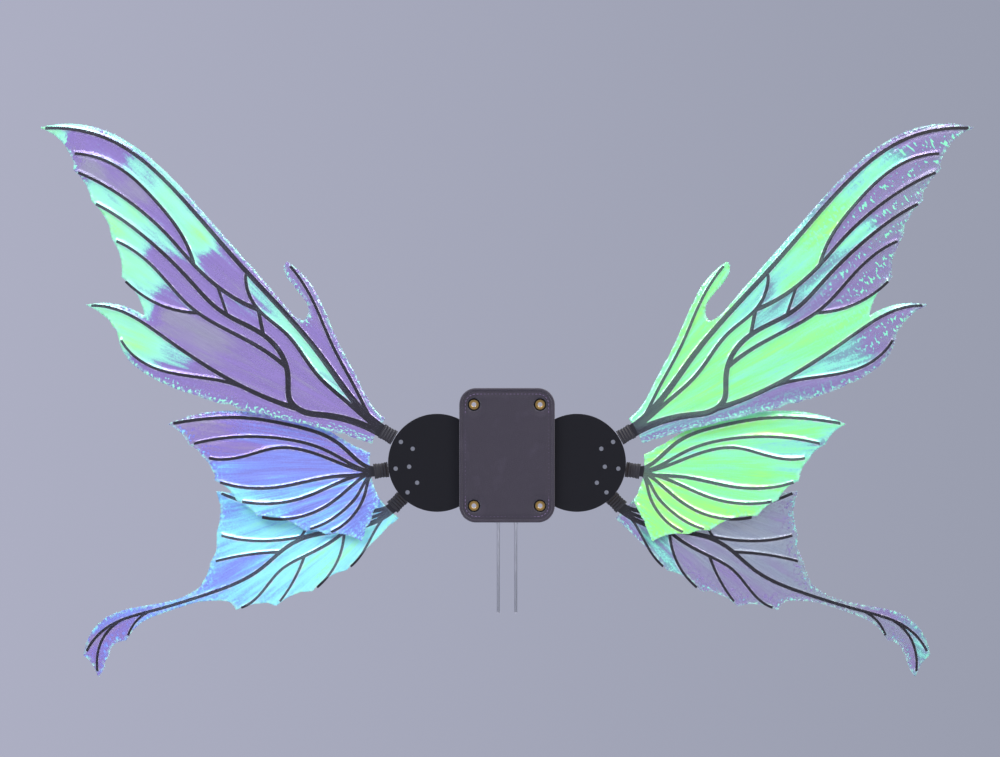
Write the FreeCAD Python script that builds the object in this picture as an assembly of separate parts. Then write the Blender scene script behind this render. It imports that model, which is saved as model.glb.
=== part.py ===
"""Fairy wings: three film panels a side that plug into a hinged back plate.

Millimetres, +Z up.  The wearer stands in front of the pad, towards -Y, and faces -Y.
The origin is the middle of the pad's front face, so that every piece lies at y >= 0.
The right wing (+X) is modelled, and the left one is its mirror image.
"""
import FreeCAD, Part
import math
import os

Vector = FreeCAD.Vector

# ---- the wings: sizes about each wing's hub, the point that its stems run towards ----
HUB_X = 72.0             # hub to the middle of the back
HUB_Z = -8.0             # hub height
WING_REACH = 418.0       # hub to the forewing's tip, sideways
WING_RISE = 350.0        # hub to the forewing's tip, upwards
DRAWN_REACH = 418.0      # the reach and rise at which the panels below were drawn
DRAWN_RISE = 350.0
RIM_MARGIN = 7.0         # a leading vein's middle line to the film's edge beside it
TIP_MARGIN = 6.0         # film beyond a vein's tip
SCALLOP = 0.1            # the edge's dip between two vein tips, as a share of their distance
ROOT_HALF_WIDTH = 14.0   # film to each side of the socket's axis, at the root

# ---- the laminate: two films with the veins heat-fused between them ----
FILM_THICKNESS = 0.3
VEIN_THICKNESS = 2.0
WIRE_WIDTH = 1.4         # flat spring-steel core wire
WIRE_THICKNESS = 1.0
WIRE_SHARE = 0.93        # of its vein's length
PANEL_LIFT = 2.0         # wing plate to the forewing's middle layer, at its root
PANEL_PITCH = 6.0        # each panel stands this far behind the one in front
SAMPLE_STEP = 18.0       # spacing of the points that a vein's edges are drawn through
EDGE_STEPS = 3           # and how many of those steps one edge spans
CUT_DEPTH = 400.0        # depth of the prisms that cut shapes out of a curved layer
LAYER_OVERRUN = 1.2      # a curved layer is this much longer than the wing's reach
LAYER_START = -30.0      # and starts this far behind the hub

# ---- stems, sleeves and sockets, as distances from the hub ----
STEM_RADIUS = 1.0
STEM_SPREAD = 3.0        # each of the twin stems stands this far off the socket's axis
STEM_START = 24.0
SOCKET_START = 22.0
SOCKET_LENGTH = 28.0
SOCKET_HALF_WIDTH = 6.5
SOCKET_ROOF = 3.0        # metal behind the stems' axis
SLEEVE_GAP = 1.0
SLEEVE_LENGTH = 15.0
SLEEVE_HALF_WIDTH = 8.5
SLEEVE_HALF_HEIGHT = 2.1
FILM_GAP = 4.0           # sleeve to the start of the film
SLIDING_CLEARANCE = 0.05  # stem to socket bore
BORE_END_GAP = 0.5       # stem's end to the bottom of its bore
STEM_OVERLAP = 4.0       # length of stem inside the core wire's flat end
VEIN_SETBACK = 3.0       # sleeve's end to the start of the veins in it
SLEEVE_CORNER = 1.5
SOCKET_CORNER = 1.2
CUT_PAST = 1.0           # a cutting tool runs this far out of the surface

# ---- the back plate and pad ----
PAD_THICKNESS = 5.0
PLATE_THICKNESS = 2.0
PLATE_WIDTH = 92.0
PLATE_HEIGHT = 132.0
PLATE_CORNER = 14.0
PAD_MARGIN = 3.0         # the pad stands proud of the plate all round
EYELET_SPACING_X = 68.0
EYELET_SPACING_Z = 104.0
EYELET_BORE = 2.4
EYELET_WALL = 0.9
EYELET_FLANGE = 5.2
EYELET_LIP = 0.8
PAD_HOLE_MARGIN = 1.3    # pad to eyelet flange

# ---- the sweep hinges ----
HINGE_X = 44.0
HINGE_LENGTH = 62.0
KNUCKLES = 5
KNUCKLE_GAP = 0.3
KNUCKLE_RADIUS = 3.2
PIN_RADIUS = 1.5
PIN_CLEARANCE = 0.06
PIN_HEAD = 1.2
LEAF_THICKNESS = 1.5
LEAF_WIDTH = 25.0
BARREL_LIFT = 3.0        # barrel axis above the fixed leaf's back face
RIVET_RADIUS = 1.5
RIVET_HEAD_RADIUS = 2.9
RIVET_HEAD = 1.1
RIVET_SPACING = 21.0
SCREW_RADIUS = 1.2
SCREW_HEAD_RADIUS = 2.2
SCREW_TIP_GAP = 0.4      # screw's end to the forewing's stems
SCREW_SHARES = (0.25, 0.75)  # places along the socket
COUNTERSINK_SHARE = 0.7  # of the wing plate's thickness
RIVET_INSET = 6.0        # leaf's edge to the rivets
RIVET_COUNTERSINK = 1.4
RIVET_DOME = 0.6         # top of a rivet's head, as a share of its radius
PIN_OVERHANG = 0.5
PIN_HEAD_STEP = 1.2
WING_PLATE_RIM = 0.5     # wing plate beyond the sockets' ends

# ---- the stays, which slip into the boning channels of a corset ----
STAY_X = 9.0
STAY_RADIUS = 1.5        # the free end, below the plate
STAY_FREE_LENGTH = 92.0
STAY_HEAD_RADIUS = 2.0   # the thicker end held in the clips
STAY_HEAD_BELOW = 5.0    # the head runs this far below the plate
STAY_TOP = -14.0
CLIP_WALL = 1.2
CLIP_LENGTH = 9.0
CLIP_FOOT = 4.5
CLIP_TOP_INSET = 3.0     # stay's top to the upper clip
CLIP_LOW_INSET = 2.0     # plate's lower edge to the lower clip

# ---- worked out from the above ----
SOCKET_END = SOCKET_START + SOCKET_LENGTH
SLEEVE_START = SOCKET_END + SLEEVE_GAP
SLEEVE_END = SLEEVE_START + SLEEVE_LENGTH
FILM_START = SLEEVE_END + FILM_GAP
VEIN_START = SLEEVE_START + VEIN_SETBACK
PLATE_BACK = PAD_THICKNESS + PLATE_THICKNESS
HINGE_Y = PLATE_BACK + LEAF_THICKNESS + BARREL_LIFT
WING_PLATE_FRONT = HINGE_Y - LEAF_THICKNESS / 2
WING_PLATE_BACK = HINGE_Y + LEAF_THICKNESS / 2
PANEL_FRONT_LEVEL = WING_PLATE_BACK + PANEL_LIFT
STEM_OFFSETS = {"upper": STEM_SPREAD, "lower": -STEM_SPREAD, "middle": 0.0}
SCALE_X = WING_REACH / DRAWN_REACH
SCALE_Z = WING_RISE / DRAWN_RISE
SIDES = ("right", "left")

# The panels, as (x, z) from the hub.  A vein is (name, start, points, width at its root, width
# at its tip).  Its start is the stem that it springs from, the middle between the stems, or the
# vein that it leaves.  A rim goes round the film from the upper root corner to the lower one, as
# pairs of a way and the corner that it leads to.  A corner is a vein's tip or a point.  A way is
# a scallop, a list of points to pass through, or (vein, share): beside that vein, from a share
# of its length on.
FOREWING = {
    "name": "forewing",
    "socket_angle": 30.0,
    "layer": 0,
    "bend_radius": 1700.0,
    "veins": [
        ("costa", "upper", [(120, 110), (200, 200), (260, 268), (300, 308), (345, 337),
                            (380, 347), (412, 349)], 8.0, 3.4),
        ("spur", "middle", [(80, 68), (110, 125), (125, 160), (152, 203)], 4.0, 2.8),
        ("subcosta", "middle", [(90, 60), (125, 92), (155, 132), (185, 158), (198, 195)],
         5.0, 3.4),
        ("medial", "lower", [(110, 48), (150, 60), (155, 95), (180, 132), (222, 155),
                             (260, 192), (300, 230), (357, 269)], 9.0, 3.2),
        ("radial", "subcosta", [(185, 158), (225, 180), (250, 202), (280, 235), (320, 270),
                                (376, 302)], 5.0, 3.0),
        ("radial_fork", "radial", [(252, 205), (265, 235), (290, 268), (330, 305), (380, 322)],
         4.0, 3.0),
        ("cubital", "medial", [(158, 98), (200, 128), (255, 160), (290, 197), (335, 230)],
         5.0, 3.0),
        ("cubital_fork", "cubital", [(248, 155), (285, 162), (325, 188)], 3.6, 2.8),
        ("anal", "medial", [(145, 58), (195, 75), (240, 100), (285, 130), (325, 155),
                            (362, 163)], 6.0, 3.0),
        ("anal_fork", "anal", [(198, 76), (240, 87), (295, 98), (330, 127)], 4.0, 2.8),
        ("cross_upper", "subcosta", [(185, 158), (180, 132)], 4.0, 4.0),
        ("cross_lower", "radial", [(228, 182), (218, 154)], 3.0, 3.0),
    ],
    "rim": [
        (("spur", 0.2), "spur"),
        ([(140, 172), (133, 155), (138, 147), (148, 152)], (158, 163)),
        (("costa", 0.36), "costa"),
        ("scallop", "radial_fork"),
        ("scallop", "radial"),
        ("scallop", "medial"),
        ("scallop", "cubital"),
        ("scallop", "cubital_fork"),
        ("scallop", (305, 152)),
        ([(340, 165)], "anal"),
        ("scallop", "anal_fork"),
        ([(318, 102), (290, 84), (230, 62), (150, 42)], "root"),
    ],
    "wired": ("costa", "medial"),
}
MIDDLE_WING = {
    "name": "middle_wing",
    "socket_angle": -8.0,
    "layer": 1,
    "bend_radius": 1250.0,
    "veins": [
        ("rib_1", "upper", [(100, 18), (150, 38), (200, 46), (240, 45), (276, 40)], 5.0, 3.2),
        ("rib_2", "middle", [(110, 10), (165, 25), (210, 26), (254, 19)], 4.0, 3.0),
        ("rib_3", "middle", [(110, 3), (165, 15), (205, 5), (238, 4)], 4.0, 3.0),
        ("rib_4", "lower", [(110, -15), (160, -25), (195, -27), (226, -21)], 5.0, 3.0),
        ("rib_5", "middle", [(100, -20), (140, -37), (175, -43), (203, -41)], 4.0, 3.0),
        ("rib_6", "middle", [(95, -30), (120, -48), (150, -58), (182, -57)], 4.0, 3.0),
        ("rib_7", "middle", [(80, -30), (100, -52), (132, -69)], 4.0, 2.8),
        ("rib_8", "middle", [(75, -33), (90, -58), (110, -72)], 4.0, 2.8),
    ],
    "rim": [
        (("rib_1", 0.15), "rib_1"),
        ("scallop", "rib_2"),
        ("scallop", "rib_3"),
        ("scallop", "rib_4"),
        ("scallop", "rib_5"),
        ("scallop", "rib_6"),
        ("scallop", "rib_7"),
        ("scallop", "rib_8"),
        ("scallop", (78, -82)),
        ([(64, -50)], "root"),
    ],
    "wired": ("rib_1", "rib_4"),
}
TAIL_WING = {
    "name": "tail_wing",
    "socket_angle": -45.0,
    "layer": 2,
    "bend_radius": 1000.0,
    "veins": [
        ("top", "upper", [(80, -52), (130, -55), (180, -48), (226, -33)], 5.0, 3.0),
        ("second", "middle", [(85, -62), (130, -75), (175, -82), (226, -77)], 4.0, 2.8),
        ("main", "lower", [(80, -67), (120, -74), (150, -84), (185, -112), (240, -138),
                           (300, -157), (345, -173), (373, -202)], 6.0, 2.8),
        ("main_fork", "main", [(335, -170), (357, -192), (361, -223)], 3.2, 2.6),
        ("main_spur", "main", [(303, -158), (320, -171), (327, -184)], 3.0, 2.4),
        ("upper_branch", "main", [(163, -94), (200, -97), (232, -104)], 3.4, 2.6),
        ("long_branch", "main", [(95, -70), (135, -96), (165, -114), (185, -138), (205, -152)],
         4.0, 2.6),
        ("mid_branch", "long_branch", [(138, -98), (150, -124), (164, -145)], 3.2, 2.4),
        ("short_branch", "long_branch", [(96, -72), (105, -105), (125, -130)], 3.4, 2.4),
        ("root_branch", "middle", [(62, -66), (74, -88), (90, -108)], 3.4, 2.4),
        ("cross", "top", [(128, -55), (142, -78)], 2.8, 2.8),
    ],
    "rim": [
        (("top", 0.15), "top"),
        ("scallop", "second"),
        ("scallop", "upper_branch"),
        (("main", 0.62), "main"),
        ("scallop", "main_fork"),
        ([(350, -210), (342, -195)], "main_spur"),
        ([(312, -170), (285, -158), (250, -147)], (218, -146)),
        ("scallop", "long_branch"),
        ("scallop", "mid_branch"),
        ("scallop", "short_branch"),
        ("scallop", "root_branch"),
        ([(70, -86)], "root"),
    ],
    "wired": ("top", "main"),
}
PANELS = (FOREWING, MIDDLE_WING, TAIL_WING)


# ---- drawing in the wing's plane ----
def in_plane(x, z):
    """A point of the plane y = 0, measured from the hub."""
    return Vector(x, 0, z)


def drawn(point):
    """An outline point at the wing's present reach and rise."""
    return in_plane(point[0] * SCALE_X, point[1] * SCALE_Z)


def on_axis(panel, distance, offset=0.0):
    """A point at a distance from the hub along the socket's axis, offset to its upper side."""
    angle = math.radians(panel["socket_angle"])
    x = distance * math.cos(angle) - offset * math.sin(angle)
    z = distance * math.sin(angle) + offset * math.cos(angle)
    return in_plane(x, z)


def smooth_edge(points):
    """A straight edge through two points, or a smooth one through more."""
    if len(points) == 2:
        return Part.makeLine(points[0], points[1])
    curve = Part.BSplineCurve()
    curve.interpolate(points)
    return curve.toShape()


def short_edges(points):
    """The smooth line through some points, as a chain of short edges."""
    curve = Part.BSplineCurve()
    curve.interpolate(points)
    stops = [curve.parameter(point) for point in points[::EDGE_STEPS]]
    stops[-1] = curve.LastParameter
    return [curve.toShape(low, high) for low, high in zip(stops, stops[1:])]


def prism(wire):
    """A flat outline made deep enough to cut the whole laminate out of a curved layer."""
    return Part.Face(wire).extrude(Vector(0, CUT_DEPTH, 0))


def vein_line(panel, name):
    """A vein's middle line, from inside the sleeve or from the vein that it leaves."""
    _, start, points, _, _ = next(vein for vein in panel["veins"] if vein[0] == name)
    line = [drawn(point) for point in points]
    if start in STEM_OFFSETS:
        offset = STEM_OFFSETS[start]
        line = [on_axis(panel, VEIN_START, offset), on_axis(panel, SLEEVE_END, offset)] + line
    else:
        line[0] = vein_line(panel, start).distToShape(Part.Vertex(line[0]))[1][0][0]
    return smooth_edge(line)


def side_step(ahead, distance):
    """A step of some distance to the left of a direction in the wing's plane."""
    across = Vector(-ahead.z, 0, ahead.x)
    across.normalize()
    return across * distance


def corner_point(panel, corner):
    """A rim's corner: beyond a vein's tip, at a drawn point, or beside the root."""
    if corner == "root":
        return on_axis(panel, SLEEVE_START, -ROOT_HALF_WIDTH)
    if isinstance(corner, str):
        near, tip = vein_line(panel, corner).discretize(12)[-2:]
        ahead = tip - near
        ahead.normalize()
        return tip + ahead * TIP_MARGIN
    return drawn(corner)


def beside(line, share):
    """Points beside a line, on its left, from a share of its length to near its end."""
    points = line.discretize(15)
    low = int(share * 14) + 1
    return [points[i] + side_step(points[i + 1] - points[i - 1], RIM_MARGIN)
            for i in range(low, 13, 2)]


def rim_edges(panel):
    """The film's edge: one smooth stretch from each corner to the next."""
    edges = []
    first = here = on_axis(panel, SLEEVE_START, ROOT_HALF_WIDTH)
    for way, corner in panel["rim"]:
        there = corner_point(panel, corner)
        if way == "scallop":
            inward = side_step(here - there, SCALLOP * here.distanceToPoint(there))
            between = [(here + there) * 0.5 + inward]
        elif isinstance(way, tuple):
            between = beside(vein_line(panel, way[0]), way[1])
        else:
            between = [drawn(point) for point in way]
        edges.append(smooth_edge([here] + between + [there]))
        here = there
    return edges + [smooth_edge([here, first])]


def outline_prism(panel):
    root_hole = Part.makeCylinder(FILM_START, CUT_DEPTH, Vector(0, 0, 0), Vector(0, 1, 0))
    return prism(Part.Wire(rim_edges(panel))).cut(root_hole)


def strip_prism(line, root_width, tip_width, keep=1.0):
    """A strip that tapers from root to tip along a smooth line, or along part of it."""
    count = max(6, round(line.Length / SAMPLE_STEP))
    centres = line.discretize(count)
    centres = centres[:max(4, round(count * keep))]
    upper, lower = [], []
    last = len(centres) - 1
    for i, centre in enumerate(centres):
        ahead = centres[min(i + 1, last)] - centres[max(i - 1, 0)]
        half = (root_width + (tip_width - root_width) * math.sqrt(i / last)) / 2
        upper.append(centre + side_step(ahead, half))
        lower.append(centre - side_step(ahead, half))
    lower.reverse()
    edges = short_edges(upper) + [Part.makeLine(upper[-1], lower[0])]
    edges += short_edges(lower) + [Part.makeLine(lower[-1], upper[0])]
    return prism(Part.Wire(edges))


def layer(panel, front, back):
    """A curved layer of the panel between two depths behind its middle surface.

    It is flat beside the hub and then bends steadily away from the wearer.
    """
    level = panel_level(panel)
    radius = panel["bend_radius"]
    sweep = math.asin(LAYER_OVERRUN * WING_REACH / radius)
    inner, outer = radius - front, radius - back
    centre = level + radius

    def at(r, angle):
        return Vector(r * math.sin(angle), centre - r * math.cos(angle), 0)

    edges = [
        Part.makeLine(Vector(LAYER_START, level + front, 0), at(inner, 0)),
        Part.Arc(at(inner, 0), at(inner, sweep / 2), at(inner, sweep)).toShape(),
        Part.makeLine(at(inner, sweep), at(outer, sweep)),
        Part.Arc(at(outer, sweep), at(outer, sweep / 2), at(outer, 0)).toShape(),
        Part.makeLine(at(outer, 0), Vector(LAYER_START, level + back, 0)),
        Part.makeLine(Vector(LAYER_START, level + back, 0),
                      Vector(LAYER_START, level + front, 0)),
    ]
    height = 2 * LAYER_OVERRUN * WING_RISE
    slab = Part.Face(Part.Wire(edges)).extrude(Vector(0, 0, height))
    slab.translate(Vector(0, 0, -height / 2))
    return slab


def panel_level(panel):
    return PANEL_FRONT_LEVEL + panel["layer"] * PANEL_PITCH


def fused(shapes):
    whole = shapes[0]
    for shape in shapes[1:]:
        whole = whole.fuse(shape)
    return whole


# ---- the pieces of one panel ----
def stem(panel, side, clearance=0.0, start=STEM_START, end=None):
    """One of the twin round stems, or with a clearance the bore that it slides in."""
    end = VEIN_START + STEM_OVERLAP if end is None else end
    base = on_axis(panel, start, side * STEM_SPREAD)
    tip = on_axis(panel, end, side * STEM_SPREAD)
    base.y = tip.y = panel_level(panel)
    return Part.makeCylinder(STEM_RADIUS + clearance, end - start, base, tip - base)


def core_wires(panel):
    """Two flat steel wires, each drawn round at its root into a stem."""
    wires = []
    flat = layer(panel, -WIRE_THICKNESS / 2, WIRE_THICKNESS / 2)
    for name, side in zip(panel["wired"], (1, -1)):
        strip = strip_prism(vein_line(panel, name), WIRE_WIDTH, WIRE_WIDTH, WIRE_SHARE)
        wires.append(strip.common(flat).fuse(stem(panel, side)))
    return Part.makeCompound(wires)


def vein_network(panel, wires):
    """The branching flat veins, with a channel for each core wire."""
    strips = [strip_prism(vein_line(panel, name), root_width, tip_width)
              for name, _, _, root_width, tip_width in panel["veins"]]
    flat = layer(panel, -VEIN_THICKNESS / 2, VEIN_THICKNESS / 2)
    return fused(strips).common(flat).cut(wires)


def film(panel, is_front):
    inner = VEIN_THICKNESS / 2
    outer = inner + FILM_THICKNESS
    sheet = layer(panel, -outer, -inner) if is_front else layer(panel, inner, outer)
    return outline_prism(panel).common(sheet)


def block(panel, start, end, half_width, front, back, corner):
    """A round-cornered block along the socket's axis, between two depths."""
    side = 2 * half_width
    box = Part.makeBox(end - start, back - front, side, Vector(start, front, -half_width))
    along_axis = [e for e in box.Edges if abs(e.tangentAt(0).x) > 0.9]
    box = box.makeFillet(corner, along_axis)
    box.rotate(Vector(0, 0, 0), Vector(0, 1, 0), -panel["socket_angle"])
    return box


def sleeve(panel, wires, veins):
    """The ferrule that clamps the vein roots round the twin stems."""
    level = panel_level(panel)
    body = block(panel, SLEEVE_START, SLEEVE_END, SLEEVE_HALF_WIDTH,
                 level - SLEEVE_HALF_HEIGHT, level + SLEEVE_HALF_HEIGHT, SLEEVE_CORNER)
    return body.cut(wires).cut(veins)


def socket(panel):
    """A brass block on the wing plate, with two blind bores for the stems."""
    level = panel_level(panel)
    body = block(panel, SOCKET_START, SOCKET_END, SOCKET_HALF_WIDTH,
                 WING_PLATE_BACK, level + STEM_RADIUS + SOCKET_ROOF, SOCKET_CORNER)
    for side in (1, -1):
        body = body.cut(stem(panel, side, SLIDING_CLEARANCE, STEM_START - BORE_END_GAP,
                             SOCKET_END + CUT_PAST))
    for screw in socket_screws(panel):
        body = body.cut(screw)
    return body


def socket_screws(panel):
    """Two countersunk screws that come through the wing plate into the socket."""
    screws = []
    length = PANEL_FRONT_LEVEL - STEM_RADIUS - SCREW_TIP_GAP - WING_PLATE_FRONT
    for share in SCREW_SHARES:
        place = on_axis(panel, SOCKET_START + share * SOCKET_LENGTH)
        place.y = WING_PLATE_FRONT
        head_depth = LEAF_THICKNESS * COUNTERSINK_SHARE
        head = Part.makeCone(SCREW_HEAD_RADIUS, SCREW_RADIUS, head_depth, place, Vector(0, 1, 0))
        shank = Part.makeCylinder(SCREW_RADIUS, length, place, Vector(0, 1, 0))
        screws.append(head.fuse(shank))
    return screws


# ---- the hinge ----
def knuckles(moving):
    """Every other knuckle of the barrel: the fixed leaf's, or the wing plate's."""
    pitch = HINGE_LENGTH / KNUCKLES
    bore = PIN_RADIUS + (PIN_CLEARANCE if moving else 0.0)
    rings = []
    for i in range(KNUCKLES):
        if (i % 2 == 1) == moving:
            bottom = Vector(HINGE_X, HINGE_Y, HUB_Z - HINGE_LENGTH / 2 + i * pitch + KNUCKLE_GAP / 2)
            length = pitch - KNUCKLE_GAP
            rings.append((bottom, length, bore))
    return rings


def ring(bottom, length, bore):
    outer = Part.makeCylinder(KNUCKLE_RADIUS, length, bottom)
    return outer.cut(Part.makeCylinder(bore, length, bottom))


def fixed_leaf():
    """The leaf riveted to the back plate, with a foot under each of its knuckles."""
    inner_x = HINGE_X - LEAF_WIDTH
    leaf = Part.makeBox(LEAF_WIDTH - KNUCKLE_RADIUS, LEAF_THICKNESS, HINGE_LENGTH,
                        Vector(inner_x, PLATE_BACK, HUB_Z - HINGE_LENGTH / 2))
    for bottom, length, bore in knuckles(moving=False):
        foot = Part.makeBox(KNUCKLE_RADIUS * 2, HINGE_Y - PLATE_BACK, length,
                            Vector(HINGE_X - KNUCKLE_RADIUS, PLATE_BACK, bottom.z))
        foot = foot.cut(Part.makeCylinder(bore, length, bottom))
        leaf = leaf.fuse(foot).fuse(ring(bottom, length, bore))
    for rivet in hinge_rivets():
        leaf = leaf.cut(rivet)
    return leaf.removeSplitter()


def hinge_rivets():
    """Three rivets: a flush head in front, under the pad, and a domed head behind."""
    rivets = []
    for step in (-1, 0, 1):
        x = HINGE_X - LEAF_WIDTH + RIVET_INSET
        z = HUB_Z + step * RIVET_SPACING
        back = PLATE_BACK + LEAF_THICKNESS
        front = Vector(x, PAD_THICKNESS, z)
        countersink = Part.makeCone(RIVET_HEAD_RADIUS, RIVET_RADIUS, RIVET_COUNTERSINK, front,
                                    Vector(0, 1, 0))
        shank = Part.makeCylinder(RIVET_RADIUS, back - PAD_THICKNESS, front, Vector(0, 1, 0))
        head = Part.makeCone(RIVET_HEAD_RADIUS, RIVET_HEAD_RADIUS * RIVET_DOME, RIVET_HEAD,
                             Vector(x, back, z), Vector(0, 1, 0))
        rivets.append(countersink.fuse(shank).fuse(head))
    return rivets


def hinge_pin():
    bottom = Vector(HINGE_X, HINGE_Y, HUB_Z - HINGE_LENGTH / 2 - PIN_OVERHANG)
    length = HINGE_LENGTH + PIN_OVERHANG
    shank = Part.makeCylinder(PIN_RADIUS, length, bottom)
    top = Vector(HINGE_X, HINGE_Y, HUB_Z + HINGE_LENGTH / 2)
    head = Part.makeCylinder(PIN_RADIUS + PIN_HEAD_STEP, PIN_HEAD, top)
    return shank.fuse(head).removeSplitter()


def wing_plate():
    """The swinging leaf: a disc under the sockets, cut straight along the hinge."""
    radius = SOCKET_END + WING_PLATE_RIM
    disc = Part.makeCylinder(radius, LEAF_THICKNESS, Vector(HUB_X, WING_PLATE_FRONT, HUB_Z),
                             Vector(0, 1, 0))
    edge_x = HINGE_X + KNUCKLE_RADIUS + KNUCKLE_GAP
    plate = disc.common(Part.makeBox(2 * radius, LEAF_THICKNESS, 2 * radius,
                                     Vector(edge_x, WING_PLATE_FRONT, HUB_Z - radius)))
    for bottom, length, bore in knuckles(moving=True):
        web = Part.makeBox(KNUCKLE_RADIUS + 2 * KNUCKLE_GAP, LEAF_THICKNESS, length,
                           Vector(HINGE_X, WING_PLATE_FRONT, bottom.z))
        web = web.cut(Part.makeCylinder(bore, length, bottom))
        plate = plate.fuse(web).fuse(ring(bottom, length, bore))
    for panel in PANELS:
        for screw in socket_screws(panel):
            screw.translate(Vector(HUB_X, 0, HUB_Z))
            plate = plate.cut(screw)
    return plate.removeSplitter()


# ---- the back ----
def rounded_slab(width, height, corner, front, thickness):
    """A slab with rounded corners, centred on the back, between two depths."""
    box = Part.makeBox(width, thickness, height, Vector(-width / 2, front, -height / 2))
    corners = [e for e in box.Edges if abs(e.tangentAt(0).y) > 0.9]
    return box.makeFillet(corner, corners)


def eyelet_places():
    return [(sx * EYELET_SPACING_X / 2, sz * EYELET_SPACING_Z / 2)
            for sx in (-1, 1) for sz in (-1, 1)]


def through_back(radius, place, front, thickness):
    return Part.makeCylinder(radius, thickness, Vector(place[0], front, place[1]),
                             Vector(0, 1, 0))


def back_plate():
    plate = rounded_slab(PLATE_WIDTH, PLATE_HEIGHT, PLATE_CORNER, PAD_THICKNESS,
                         PLATE_THICKNESS)
    for place in eyelet_places():
        plate = plate.cut(through_back(EYELET_BORE + EYELET_WALL, place, PAD_THICKNESS,
                                       PLATE_THICKNESS))
    for rivet in hinge_rivets():
        plate = plate.cut(rivet).cut(mirrored(rivet))
    return plate


def back_pad():
    pad = rounded_slab(PLATE_WIDTH + 2 * PAD_MARGIN, PLATE_HEIGHT + 2 * PAD_MARGIN,
                       PLATE_CORNER + PAD_MARGIN, 0.0, PAD_THICKNESS)
    for place in eyelet_places():
        pad = pad.cut(through_back(EYELET_FLANGE + PAD_HOLE_MARGIN, place, 0.0, PAD_THICKNESS))
    return pad


def eyelets():
    """Four brass eyelets set in the plate, for the lacing."""
    pieces = []
    for place in eyelet_places():
        front = PAD_THICKNESS - EYELET_LIP
        height = PLATE_THICKNESS + 2 * EYELET_LIP
        tube = through_back(EYELET_BORE + EYELET_WALL, place, front, height)
        rims = [through_back(EYELET_FLANGE, place, y, EYELET_LIP) for y in (front, PLATE_BACK)]
        hole = through_back(EYELET_BORE, place, front, height)
        pieces.append(tube.fuse(rims[0]).fuse(rims[1]).cut(hole).removeSplitter())
    return Part.makeCompound(pieces)


def stay_axis_y():
    return PLATE_BACK + CLIP_WALL + STAY_HEAD_RADIUS


def stay():
    """A straight steel stay: a thick head for the clips, and a thin end with a round tip."""
    shoulder = -PLATE_HEIGHT / 2 - STAY_HEAD_BELOW
    bottom = shoulder - STAY_FREE_LENGTH + STAY_RADIUS
    tip_centre = Vector(STAY_X, stay_axis_y(), bottom)
    head = Part.makeCylinder(STAY_HEAD_RADIUS, STAY_TOP - shoulder,
                             Vector(STAY_X, stay_axis_y(), shoulder))
    rod = Part.makeCylinder(STAY_RADIUS, shoulder - bottom, tip_centre)
    tip = Part.makeSphere(STAY_RADIUS, tip_centre)
    return head.fuse(rod).fuse(tip).removeSplitter()


def stay_clips():
    """Two saddle clips that hold one stay's head on the plate."""
    outer = STAY_HEAD_RADIUS + CLIP_WALL
    clips = []
    for low in (STAY_TOP - CLIP_TOP_INSET - CLIP_LENGTH, -PLATE_HEIGHT / 2 + CLIP_LOW_INSET):
        foot = Part.makeBox(2 * (outer + CLIP_FOOT), CLIP_WALL, CLIP_LENGTH,
                            Vector(STAY_X - outer - CLIP_FOOT, PLATE_BACK, low))
        axis_point = Vector(STAY_X, stay_axis_y(), low)
        saddle = Part.makeCylinder(outer, CLIP_LENGTH, axis_point)
        base = Part.makeBox(2 * outer, stay_axis_y() - PLATE_BACK, CLIP_LENGTH,
                            Vector(STAY_X - outer, PLATE_BACK, low))
        hole = Part.makeCylinder(STAY_HEAD_RADIUS, CLIP_LENGTH, axis_point)
        clips.append(foot.fuse(saddle).fuse(base).cut(hole).removeSplitter())
    return Part.makeCompound(clips)


# ---- writing the pieces ----
def mirrored(shape):
    return shape.mirror(Vector(0, 0, 0), Vector(1, 0, 0))


def write(name, shape):
    solids = shape.Solids
    out = solids[0] if len(solids) == 1 else Part.makeCompound(solids)
    out.exportStep("parts/" + name + ".step")
    print(f"{name}: {len(solids)} solid(s), {out.Volume:.1f} mm3, valid {out.isValid()}")


def write_pair(name_pattern, shape):
    """Writes a piece for the right side, and its mirror image for the left."""
    for side in SIDES:
        write(name_pattern.format(side), shape if side == "right" else mirrored(shape))


def at_hub(shape):
    shape.translate(Vector(HUB_X, 0, HUB_Z))
    return shape


def write_panel(panel):
    name = panel["name"] + "_{}_"
    wires = core_wires(panel)
    veins = vein_network(panel, wires)
    ferrule = sleeve(panel, wires, veins)
    write_pair(name + "film_front", at_hub(film(panel, is_front=True)))
    write_pair(name + "film_back", at_hub(film(panel, is_front=False)))
    write_pair(name + "sleeve", at_hub(ferrule))
    write_pair(name + "veins", at_hub(veins))
    write_pair(name + "wires", at_hub(wires))
    write_pair("socket_" + name[:-1].replace("_{}", "") + "_{}", at_hub(socket(panel)))


os.makedirs("parts", exist_ok=True)
for each_panel in PANELS:
    write_panel(each_panel)
all_screws = [screw for each_panel in PANELS for screw in socket_screws(each_panel)]
write_pair("socket_screws_{}", at_hub(Part.makeCompound(all_screws)))
write_pair("wing_plate_{}", wing_plate())
write_pair("hinge_leaf_{}", fixed_leaf())
write_pair("hinge_pin_{}", hinge_pin())
write_pair("hinge_rivets_{}", Part.makeCompound(hinge_rivets()))
write_pair("stay_{}", stay())
write_pair("stay_clips_{}", stay_clips())
write("back_plate", back_plate())
write("back_pad", back_pad())
write("lacing_eyelets", eyelets())
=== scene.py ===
"""Fairy wings: film, veins and fittings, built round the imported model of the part."""
import bmesh
import bpy
import heapq
import math
import numpy as np
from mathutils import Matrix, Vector, bvhtree, geometry, kdtree, noise


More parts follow.
